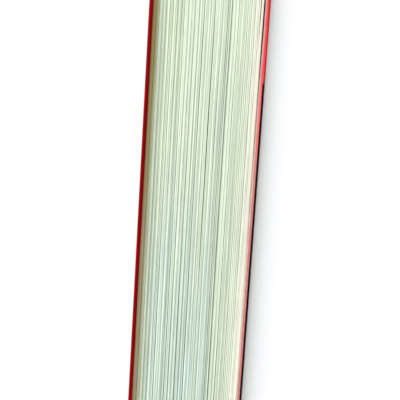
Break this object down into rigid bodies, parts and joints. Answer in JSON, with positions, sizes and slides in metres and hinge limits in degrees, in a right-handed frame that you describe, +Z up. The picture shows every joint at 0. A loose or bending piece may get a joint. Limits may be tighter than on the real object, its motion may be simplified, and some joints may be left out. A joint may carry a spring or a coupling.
{
  "type": "paperback book",
  "caption": "Thick paperback book with a wrap-around card cover turned in at the fore-edge as flaps; both covers swing open on their scored creases.",
  "frame": {"origin": "centre of the book's outline, on the surface that the back cover rests on", "axes": "+X from the spine to the fore-edge, +Y from the tail to the head, +Z up from back cover to front cover"},
  "size_m": [0.1316, 0.198, 0.045],
  "materials": {
    "paper": "matt uncoated",
    "glue": "matt hot melt",
    "cover_card": "matt laminated print"
  },
  "bodies": {
    "block": {"page_block": "paper", "spine_glue": "glue", "spine_cover": "cover_card"},
    "front_cover": {"front_cover": "cover_card"},
    "back_cover": {"back_cover": "cover_card"}
  },
  "joints": [
    {"name": "front_cover_hinge", "type": "hinge", "parent": "block", "child": "front_cover", "pos_m": [-0.0598, 0, 0.04505], "axis": [0, -1, 0], "range_deg": [0, 180]},
    {"name": "back_cover_hinge", "type": "hinge", "parent": "block", "child": "back_cover", "pos_m": [-0.0598, 0, -0.00005], "axis": [0, 1, 0], "range_deg": [0, 180]}
  ]
}
